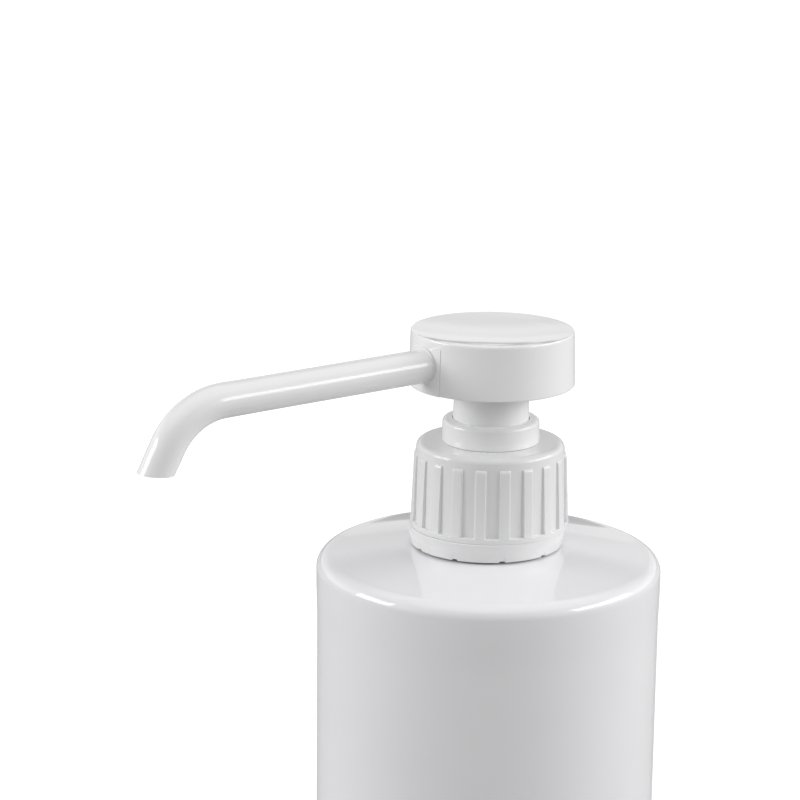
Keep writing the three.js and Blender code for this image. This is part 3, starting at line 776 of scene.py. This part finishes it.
def build_face_plate():
    """The curved plate that fills the cap's notch, its edges rounded."""
    high = PLATE_TOP
    half = math.asin(PLATE_HALF / CAP_RADIUS)
    edge = PLATE_EDGE / CAP_RADIUS
    columns = [math.pi - half + 2 * half * i / 24 for i in range(25)]
    columns[1:1] = [columns[0] + edge * t for t in (0.15, 0.5, 1)]
    columns[-1:-1] = [columns[-1] - edge * t for t in (1, 0.5, 0.15)]
    heights = rows_between(CAP_LOW, high, 0.8 * MM)
    for t in (0.3, 1):
        heights += [CAP_LOW + t * PLATE_EDGE, high - t * PLATE_EDGE]
    rows = sorted(set(heights))
    made = bmesh.new()

    def sunk(angle, z):
        side = min(abs(angle - columns[0]), abs(angle - columns[-1])) * CAP_RADIUS
        end = min(z - CAP_LOW, high - z)
        away = clamp(1 - side / PLATE_EDGE) ** 2 + clamp(1 - end / PLATE_EDGE) ** 2
        return PLATE_EDGE * (1 - math.sqrt(1 - clamp(away)))

    def face(angle, z):
        r = cap_radius(z) + PLATE_STANDS_OUT - sunk(angle, z)
        return made.verts.new((r * math.cos(angle), r * math.sin(angle), z))

    outer = [[face(a, z) for a in columns] for z in rows]
    behind = [(PLATE_BACK * math.cos(a), PLATE_BACK * math.sin(a)) for a in columns]
    back = [[made.verts.new((x, y, z)) for x, y in behind] for z in rows]
    for i in range(len(rows) - 1):
        for j in range(len(columns) - 1):
            made.faces.new((outer[i][j], outer[i][j + 1], outer[i + 1][j + 1], outer[i + 1][j]))
            made.faces.new((back[i][j], back[i + 1][j], back[i + 1][j + 1], back[i][j + 1]))
    for j in range(len(columns) - 1):
        made.faces.new((outer[0][j], back[0][j], back[0][j + 1], outer[0][j + 1]))
        made.faces.new((outer[-1][j], outer[-1][j + 1], back[-1][j + 1], back[-1][j]))
    for i in range(len(rows) - 1):
        made.faces.new((outer[i][0], outer[i + 1][0], back[i + 1][0], back[i][0]))
        made.faces.new((outer[i][-1], back[i][-1], back[i + 1][-1], outer[i + 1][-1]))
    bmesh.ops.recalc_face_normals(made, faces=made.faces)
    return piece_from("face_plate", made)


def plug(name, radius, low, high):
    """A plain cylinder about +Z."""
    profile = [(0, low), (radius, low), (radius, high), (0, high)]
    return revolve(name, profile, PLAIN_COLUMNS, closed=False)


CORE_LOW, CORE_HIGH = mm(221.5, 237)
BOSS_RADIUS, DISC_RADIUS, DISC_THICKNESS = mm(8.3, 19.5, 1.4)
SOCKET_RADIUS, SOCKET_REACH = mm(4.9, 20.3)
ROD_BORE, ROD_BORE_TOP = mm(4.95, 235.9)
SPIGOT_BORE = 3.6 * MM
WEB_HALF, WEB_FROM, WEB_TO = mm(5.6, 5, 20.2)


def build_core():
    """The boss on the rod, the disc under the cap, the spout's socket and its face plate, in one."""
    low, high = CORE_LOW, CORE_HIGH
    piece = revolve("head_core_body", [(0, low), *rounded([
        (1 * MM, low, 0), (BOSS_RADIUS, low, 0.4), (BOSS_RADIUS, high - DISC_THICKNESS, 0.6),
        (DISC_RADIUS, high - DISC_THICKNESS, 0.2), (DISC_RADIUS, high, 0.2), (1 * MM, high, 0),
    ]), (0, high)], CORE_COLUMNS, closed=False)
    socket = lay_along_spout(plug("socket", SOCKET_RADIUS, 0, SOCKET_REACH))
    ceiling = block((-25 * MM, -8 * MM, low), (1 * MM, 8 * MM, HEAD_TOP - 2.8 * MM))
    combine(socket, ceiling, "INTERSECT")
    combine(piece, socket, "UNION")
    web = block((-WEB_TO, -WEB_HALF, high - 1.3 * MM), (-WEB_FROM, WEB_HALF, high - 0.1 * MM))
    combine(piece, web, "UNION")
    combine(piece, build_face_plate(), "UNION")
    combine(piece, plug("bore", ROD_BORE, low - 2 * MM, ROD_BORE_TOP), "DIFFERENCE")
    combine(piece, lay_along_spout(plug("channel", SPOUT_BORE, 0.3 * MM, SPOUT_START)), "DIFFERENCE")
    spigot_bore = plug("spigot_bore", SPIGOT_BORE, SPOUT_START - 0.3 * MM, 24 * MM)
    combine(piece, lay_along_spout(spigot_bore), "DIFFERENCE")
    finish_piece(piece, "head_body", HEAD_WHITE, "head_core")


# ---- spout

SPOUT_RADIUS = 4.3 * MM
SPOUT_STRAIGHT = 80.1 * MM
SPOUT_BEND_RADIUS = 17.9 * MM
SPOUT_BEND = math.radians(60.6)
SPOUT_TIP = 7.1 * MM
SPOUT_ROOT = 21.25 * MM
SPOUT_SIDES = 72
SPIGOT_RADIUS = 3.3 * MM
FLARE_RADIUS, FLARE_EDGE, FLARE_LENGTH = mm(4.7, 0.12, 0.8)
SWELL_AT_BEND, RIDGE_HEIGHT, RIDGE_WIDTH = mm(0.07, 0.03, 0.2)
TIP_CUT = math.radians(6)
TIP_RUN = 9 * MM  # the stretch before the tip in which the rings lean over into the cut
LIP_STEPS = mm(0.15, 0.8, 1.5)


def spout_point(along):
    """The place and downward angle of the spout's centre line at a distance from the bottle's axis."""
    straight = min(along, SPOUT_STRAIGHT)
    turn = min(max((along - SPOUT_STRAIGHT) / SPOUT_BEND_RADIUS, 0), SPOUT_BEND)
    tip = max(along - SPOUT_STRAIGHT - SPOUT_BEND_RADIUS * SPOUT_BEND, 0)
    angle = SPOUT_DROOP + turn
    out = straight * math.cos(SPOUT_DROOP) + tip * math.cos(angle)
    out += SPOUT_BEND_RADIUS * (math.sin(angle) - math.sin(SPOUT_DROOP))
    down = straight * math.sin(SPOUT_DROOP) + tip * math.sin(angle)
    down += SPOUT_BEND_RADIUS * (math.cos(SPOUT_DROOP) - math.cos(angle))
    return Vector((-out, 0, SPOUT_Z - down)), angle


def spout_radius(along):
    """The tube swells a little through its bend."""
    bend_end = SPOUT_STRAIGHT + SPOUT_BEND_RADIUS * SPOUT_BEND
    swell = smooth(SPOUT_STRAIGHT - 12 * MM, SPOUT_STRAIGHT + 4 * MM, along)
    settle = smooth(bend_end, bend_end + 8 * MM, along)
    return SPOUT_RADIUS + SWELL_AT_BEND * (swell - settle)


def build_spout():
    """One closed surface: out along the tube, round the cut tip, and back up the bore."""
    tip_end = SPOUT_STRAIGHT + SPOUT_BEND_RADIUS * SPOUT_BEND + SPOUT_TIP
    stations = [(SPOUT_START, SPIGOT_RADIUS - 0.4 * MM), (SPOUT_START + 0.2 * MM, SPIGOT_RADIUS - 0.1 * MM)]
    stations += [(SPOUT_START + 0.5 * MM, SPIGOT_RADIUS), (SPOUT_ROOT, SPIGOT_RADIUS)]
    stations += [(SPOUT_ROOT + 0.02 * MM, FLARE_RADIUS - FLARE_EDGE), (SPOUT_ROOT + FLARE_EDGE, FLARE_RADIUS)]
    for turn in QUARTER_TURN:
        along = SPOUT_ROOT + FLARE_EDGE + (FLARE_LENGTH - FLARE_EDGE) * (1 - math.cos(turn))
        stations.append((along, FLARE_RADIUS - (FLARE_RADIUS - SPOUT_RADIUS) * math.sin(turn)))
    first = SPOUT_ROOT + FLARE_LENGTH
    stations += [(s, spout_radius(s)) for s in rows_between(first + 1 * MM, tip_end, 1.4 * MM)]
    inner = [(s, SPOUT_BORE) for s in reversed(rows_between(SPOUT_START, tip_end, 2.2 * MM))]
    tip_point = spout_point(tip_end)[0]
    cut_normal = Vector((math.sin(TIP_CUT), 0, math.cos(TIP_CUT)))

    def ring(along, radius, at_tip):
        centre, angle = spout_point(along)
        onward = Vector((-math.cos(angle), 0, -math.sin(angle)))
        upward = Vector((-math.sin(angle), 0, math.cos(angle)))
        points = []
        for turn in even_angles(SPOUT_SIDES):
            ridge = RIDGE_HEIGHT * math.exp(-((math.sin(turn) * radius / RIDGE_WIDTH) ** 2))
            reach = radius + (ridge if radius > SPOUT_BORE + 1 * MM and along > first else 0)
            point = centre + reach * (math.sin(turn) * upward + math.cos(turn) * Vector((0, 1, 0)))
            if SPOUT_ROOT <= along <= first and radius > SPOUT_RADIUS:
                wall = CAP_RADIUS - math.sqrt(CAP_RADIUS ** 2 - point.y ** 2)
                point -= onward * wall * (first - along) / FLARE_LENGTH
            if at_tip:
                share = smooth(tip_end - TIP_RUN, tip_end, along)
                slide = (tip_point - point).dot(cut_normal) / onward.dot(cut_normal)
                lead = (tip_point - centre).dot(onward)
                point = point + onward * (slide - lead) * share
            points.append(point)
        return points

    rings = [ring(s, r, s > tip_end - TIP_RUN) for s, r in stations]
    rings += [ring(tip_end, SPOUT_RADIUS - step, True) for step in LIP_STEPS]
    rings += [ring(s, r, s > tip_end - TIP_RUN) for s, r in inner]
    vertices = [p for points in rings for p in points]
    piece = closed_piece("spout_nozzle", vertices, tube_faces(len(rings), SPOUT_SIDES, True))
    finish_piece(piece, "head_body", SPOUT_WHITE, "spout_tube")


# ---- parts inside


def section_of(node, facets):
    """The (r, z) outline of a turned CAD node, read from a slice through the middle of a facet."""
    made = bmesh.new()
    made.from_mesh(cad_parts[node].data)
    bmesh.ops.remove_doubles(made, verts=made.verts, dist=2 * WELD)
    middle = -math.pi / 2 + math.pi / facets
    across = Vector((-math.sin(middle), math.cos(middle), 0))
    outward = Vector((math.cos(middle), math.sin(middle), 0))
    everything = made.verts[:] + made.edges[:] + made.faces[:]
    cut = bmesh.ops.bisect_plane(made, geom=everything, plane_co=(0, 0, 0), plane_no=across)["geom_cut"]
    edges = [e for e in cut if isinstance(e, bmesh.types.BMEdge)]
    edges = [e for e in edges if sum((v.co for v in e.verts), Vector()).dot(outward) > 0]
    links = {}
    for edge in edges:
        for a, b in (edge.verts, reversed(edge.verts)):
            links.setdefault(a, []).append(b)
    start = next(iter(links))
    loop, before, here = [start], None, start
    while True:
        onward = [v for v in links[here] if v is not before]
        before, here = here, onward[0]
        if here is start:
            break
        loop.append(here)
    points = [Vector((v.co.dot(outward) / math.cos(math.pi / facets), v.co.z)) for v in loop]
    made.free()
    kept = []
    for i, point in enumerate(points):
        a, b = point - points[i - 1], points[(i + 1) % len(points)] - point
        if a.length > TINY and b.length > TINY and a.angle(b) > STRAIGHT:
            kept.append(point)
    area = sum(p.x * q.y - q.x * p.y for p, q in zip(kept, kept[1:] + kept[:1]))
    return kept if area > 0 else kept[::-1]


def fine_turned(name, node, facets, fillet=0.25):
    """A turned CAD node again, with a fine round surface and softened corners."""
    outline = rounded([(p.x, p.y, fillet) for p in section_of(node, facets)], steps=3)
    return revolve(name, outline, PLAIN_COLUMNS)


TURNED_PARTS = (
    ("cylinder_shell", "pump_cylinder", 24, "pump_body", NATURAL),
    ("gasket_ring", "neck_gasket", 24, "pump_body", SEAL_GREY),
    ("wiper_ring", "stem_wiper", 24, "pump_body", SEAL_GREY),
    ("piston_disc", "piston", 24, "piston_body", NATURAL),
    ("piston_lip_seal", "piston_seal", 24, "piston_body", SEAL_GREY),
    ("rod_shell", "piston_rod", 16, "head_body", NATURAL),
)


def build_turned_parts():
    for name, node, facets, body, material in TURNED_PARTS:
        finish_piece(fine_turned(name, node, facets), body, material, node)


def build_ball(name, node, body):
    low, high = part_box(node)
    radius = (high.z - low.z) / 2
    centre = (high.z + low.z) / 2
    profile = [(0, low.z), *arc(0, centre, radius, -84, 84, 28), (0, high.z)]
    piece = revolve(name, profile, SMALL_COLUMNS, closed=False)
    finish_piece(piece, body, STAINLESS, node)


CAGE_BORE, CAGE_TOWER, CAGE_FLANGE = mm(4.8, 5.9, 1.4)
WINDOW_HALF, WINDOW_LOW, WINDOW_HIGH = mm(2.5, 1.6, 3)
CAGE_BAR_HALF, CAGE_BAR_REACH = mm(1.2, 5.1)
RETAINER_BAR_HALF, RETAINER_BAR_REACH = mm(0.7, 3.7)
RETAINER_BORE = 3.4 * MM
DIP_BORE, DIP_CUT = 2.6 * MM, math.radians(35)


def build_cage():
    """The inlet ball's cage: a short tower with two windows and a bar across, on the spring's seat."""
    low, high = height_of("ball_cage")
    outer = radius_of("ball_cage")
    piece = revolve("cage_tower", rounded([
        (CAGE_BORE, low, 0.2), (outer, low, 0.3), (outer, low + CAGE_FLANGE, 0.3),
        (CAGE_TOWER, low + CAGE_FLANGE, 0.4), (CAGE_TOWER, high, 0.3), (CAGE_BORE, high, 0.2),
    ]), PLAIN_COLUMNS)
    window = block((-WINDOW_HALF, -7 * MM, low + WINDOW_LOW), (WINDOW_HALF, 7 * MM, low + WINDOW_HIGH))
    combine(piece, window, "DIFFERENCE")
    bar = block(
        (-CAGE_BAR_REACH, -CAGE_BAR_HALF, low + WINDOW_HIGH), (CAGE_BAR_REACH, CAGE_BAR_HALF, high - 0.1 * MM)
    )
    combine(piece, bar, "UNION")
    finish_piece(piece, "pump_body", NATURAL, "ball_cage")


def build_retainer():
    """The ring under the outlet ball, with a bar across it."""
    low, high = height_of("outlet_retainer")
    outer = radius_of("outlet_retainer")
    piece = revolve("retainer_ring", rounded([
        (RETAINER_BORE, low, 0.15), (outer, low, 0.2),
        (outer, high, 0.2), (RETAINER_BORE, high, 0.15),
    ]), RING_COLUMNS)
    reach, half, sunk = RETAINER_BAR_REACH, RETAINER_BAR_HALF, 0.05 * MM
    bar = block((-reach, -half, low + sunk), (reach, half, high - sunk))
    combine(piece, bar, "UNION")
    finish_piece(piece, "head_body", NATURAL, "outlet_retainer")


def build_dip_tube():
    """The suction tube, cut at a slant at its lower end."""
    low, high = height_of("dip_tube")
    outer = radius_of("dip_tube")
    piece = revolve("dip_pipe", rounded([
        (DIP_BORE, low, 0), (outer, low, 0), (outer, high, 0.2), (DIP_BORE, high, 0.2),
    ]), SMALL_COLUMNS)
    cutter = block((-20 * MM, -20 * MM, -40 * MM), (20 * MM, 20 * MM, 0))
    cutter.data.transform(Matrix.Translation((-outer, 0, low)) @ Matrix.Rotation(DIP_CUT, 4, "Y"))
    combine(piece, cutter, "DIFFERENCE")
    finish_piece(piece, "pump_body", NATURAL, "dip_tube")


SPRING_TURNS = 6
SPRING_WIRE, SPRING_COIL = mm(0.6, 8.6)
SPRING_CLOSING = 0.7  # how much closer the end coils lie: 1 would close them fully
SPRING_STEPS, SPRING_SIDES = 360, 16


def build_spring():
    """A helical wire whose end coils close up, squeezed between its fixed foot and the piston."""
    low, high = height_of("return_spring")
    wire, steps, sides = SPRING_WIRE, SPRING_STEPS, SPRING_SIDES
    rise = high - low - 2 * wire
    vertices = []
    for i in range(steps + 1):
        share = i / steps
        turn = TAU * SPRING_TURNS * share
        z = low + wire + rise * (share - SPRING_CLOSING * math.sin(TAU * share) / TAU)
        outward = Vector((math.cos(turn), math.sin(turn), 0))
        for round_wire in even_angles(sides):
            centre = Vector((0, 0, z)) + outward * (SPRING_COIL + wire * math.cos(round_wire))
            vertices.append(centre + Vector((0, 0, wire * math.sin(round_wire))))
    faces = [list(range(sides)), list(reversed(range(steps * sides, (steps + 1) * sides)))]
    faces += tube_faces(steps + 1, sides, False)
    piece = closed_piece("spring_wire", vertices, faces)
    finish_piece(piece, "pump_body", STAINLESS, "return_spring")
    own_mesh(piece)


# ---- studio


CAMERA_TURN = 36  # in degrees round the bottle from straight in front
CAMERA_DISTANCE, CAMERA_ABOVE = mm(686.14, 154.11)
CAMERA_AIM = (1.972, 14.1785, 0.606)  # yaw, pitch and roll in degrees
CAMERA_SENSOR, CAMERA_LENS = 36, 123.08  # in millimetres, as Blender takes them


def build_camera():
    """Stands in front of the bottle to the spout's left, a little above it, looking slightly down."""
    turn, distance = math.radians(CAMERA_TURN), CAMERA_DISTANCE
    yaw, pitch, roll = (math.radians(angle) for angle in CAMERA_AIM)
    data = bpy.data.cameras.new("camera")
    data.sensor_width, data.lens = CAMERA_SENSOR, CAMERA_LENS
    data.clip_start, data.clip_end = 0.01, 50
    camera = add_object("camera", data)
    camera.location = (-distance * math.sin(turn), -distance * math.cos(turn), HEAD_TOP + CAMERA_ABOVE)
    aim = Matrix.Rotation(yaw - turn, 4, "Z") @ Matrix.Rotation(math.pi / 2 - pitch, 4, "X")
    camera.rotation_euler = (aim @ Matrix.Rotation(roll, 4, "Z")).to_euler()
    bpy.context.scene.camera = camera


LIGHT_AIM = Vector((0, 0, 0.21))
PANELS = (  # name, azimuth, elevation, distance, size, radiance
    ("left_panel", -80, 17, 1.2, (0.62, 0.42), 6),
    ("right_panel", 84, 21, 1.2, (1.1, 0.36), 5),
)


def panel_light(name, azimuth, elevation, distance, size, radiance):
    """A soft panel that faces the pump, placed by its angle from the camera's side and its height angle."""
    turn, lift = VIEW_TURN + math.radians(azimuth), math.radians(elevation)
    data = bpy.data.lights.new(name, "AREA")
    data.shape = "RECTANGLE"
    data.size, data.size_y = size
    data.energy = radiance * math.pi * size[0] * size[1]
    light = add_object(name, data)
    away = Vector((math.cos(turn) * math.cos(lift), math.sin(turn) * math.cos(lift), math.sin(lift)))
    light.location = LIGHT_AIM + away * distance
    light.rotation_euler = (-away).to_track_quat("-Z", "Y").to_euler()


# How bright the surroundings are: low down, behind, high behind, overhead, near level, in front and beside.
WORLD_LOW, WORLD_BACK, WORLD_DARK, WORLD_TOP, WORLD_EDGE = 0.8, 0.62, 0.02, 0.85, 0.2
WORLD_FRONT, WORLD_ABOVE, WORLD_SIDE = 0.36, 0.46, 0.7
SEEN_WHITE = 1.05
WORLD_TILT = (0.94, 1.06)  # from the camera's left to its right
# Where each fades, as the sine of the height angle.
AHEAD_FADE, BACK_FADE, SIDE_FADE, TOP_FADE = (0.1, 0.7), (0.28, 0.42), (0.4, 0.8), (0.66, 0.85)
LOW_START, LOW_END, EDGE_FADE = (0.06, 0.075), (0.175, 0.185), (0.05, 0.09)
# Where they fade round the object, as the cosine of the angle from the camera's side, or from its right.
FRONT_FADE, LOW_FRONT_FADE, SIDE_SPREAD, PAINTED_GLOW_FADE = (-0.3, 0.6), (0, 0.85), (0.5, 0.9), (-0.2, 0.9)
LOW_IN_FRONT = 0.4
# Painted light: the floor glows to light the object; these are its own colour and the strengths of that glow
# behind the object and in front of it.
FLOOR_ALBEDO, FLOOR_PAINTED_GLOW_BACK, FLOOR_PAINTED_GLOW_FRONT = 0.3, 0.2, 0.04
FLOOR_HALF, FLOOR_ROUGHNESS, FLOOR_GLOSS = 8, 0.8, 0.1
# Painted shadow: the glow that the camera sees on the floor is dim near the object and painted white further
# out.
FLOOR_PAINTED_SHADOW, FLOOR_GLOW = (0.07, 0.26), (0.3, 0.9)  # distances in metres, and how bright it looks there


def build_world():
    """Surroundings that are bright low down at the sides and behind, and dim in front and higher up."""
    world = bpy.data.worlds.new("studio")
    bpy.context.scene.world = world
    world.use_nodes = True
    shade = Shading(world.node_tree)
    place = shade.nodes.new("ShaderNodeTexCoord").outputs["Generated"]
    front = shade.dot(place, (math.cos(VIEW_TURN), math.sin(VIEW_TURN), 0))
    right = shade.dot(place, (-math.sin(VIEW_TURN), math.cos(VIEW_TURN), 0))
    upward = shade.dot(place, (0, 0, 1))
    back = shade.range(upward, *BACK_FADE, WORLD_BACK, WORLD_DARK)
    ahead = shade.range(upward, *AHEAD_FADE, WORLD_FRONT, WORLD_ABOVE)
    level = shade.value("ShaderNodeMix", shade.range(front, *FRONT_FADE, 0, 1), None, back, ahead,
                        data_type="FLOAT").outputs["Result"]
    beside = shade.range(shade.math("ABSOLUTE", right, None), *SIDE_SPREAD, 0, WORLD_SIDE)
    sideways = shade.math("MULTIPLY", beside, shade.range(upward, *SIDE_FADE, 1, 0))
    high = shade.math("ADD", shade.math("ADD", level, sideways), shade.range(upward, *TOP_FADE, 0, WORLD_TOP))
    low_end = shade.range(upward, *LOW_END, WORLD_LOW, 0)
    low_band = shade.math("MULTIPLY", low_end, shade.range(upward, *LOW_START, 0, 1))
    low_band = shade.math("MULTIPLY", low_band, shade.range(front, *LOW_FRONT_FADE, 1, LOW_IN_FRONT))
    tilt = shade.range(right, -1, 1, *WORLD_TILT)
    high = shade.math("MULTIPLY", high, shade.range(upward, *EDGE_FADE, WORLD_EDGE, 1))
    light = shade.math("MULTIPLY", shade.math("MAXIMUM", high, low_band), tilt)
    seen = shade.nodes.new("ShaderNodeLightPath").outputs["Is Camera Ray"]
    white = shade.math("MAXIMUM", light, shade.math("MULTIPLY", seen, SEEN_WHITE))
    shade.links.new(white, shade.nodes["Background"].inputs["Strength"])
    preset(shade.nodes["Background"], Color=(1, 1, 1, 1))


def build_floor():
    """A wide pale floor that glows: dim near the object, a painted shadow, and painted white further out; to
    light the object it gives off a painted glow, brighter behind it than in front.
    """
    made = bmesh.new()
    bmesh.ops.create_grid(made, x_segments=8, y_segments=8, size=FLOOR_HALF)
    floor = piece_from("floor", made)
    material = bpy.data.materials.new("floor")
    material.use_nodes = True
    shade = Shading(material.node_tree)
    shader = shade.nodes["Principled BSDF"]
    preset(shader, Base_Color=(*[FLOOR_ALBEDO] * 3, 1), Emission_Color=(1, 1, 1, 1))
    preset(shader, Roughness=FLOOR_ROUGHNESS, Specular_IOR_Level=FLOOR_GLOSS)
    place = shade.nodes.new("ShaderNodeTexCoord").outputs["Object"]
    length = shade.value("ShaderNodeVectorMath", place, operation="LENGTH").outputs["Value"]
    # Painted shadow near the object, fading into painted white glow further out.
    glow = shade.range(length, *FLOOR_PAINTED_SHADOW, *FLOOR_GLOW)
    outward = shade.value("ShaderNodeVectorMath", place, operation="NORMALIZE").outputs["Vector"]
    front = shade.dot(outward, (math.cos(VIEW_TURN), math.sin(VIEW_TURN), 0))
    # Painted light that the floor gives off, brighter behind the object than in front.
    painted_bounce = shade.range(front, *PAINTED_GLOW_FADE, FLOOR_PAINTED_GLOW_BACK, FLOOR_PAINTED_GLOW_FRONT)
    seen = shade.nodes.new("ShaderNodeLightPath").outputs["Is Camera Ray"]
    strength = shade.value("ShaderNodeMix", seen, None, painted_bounce, glow, data_type="FLOAT")
    shade.links.new(strength.outputs["Result"], shader.inputs["Emission Strength"])
    floor.data.materials.append(material)


def build_studio():
    build_camera()
    build_world()
    build_floor()
    for panel in PANELS:
        panel_light(*panel)
    scene = bpy.context.scene
    scene.view_settings.view_transform = "Standard"
    scene.view_settings.look = "None"


# ---- the dispenser

build_bottle()
build_collar()
build_band()
build_guide()
build_sleeve()
build_cap()
build_core()
build_spout()
build_turned_parts()
build_ball("inlet_check_ball", "inlet_ball", "inlet_ball_body")
build_ball("outlet_check_ball", "outlet_ball", "outlet_ball_body")
build_cage()
build_retainer()
build_dip_tube()
build_spring()
build_studio()
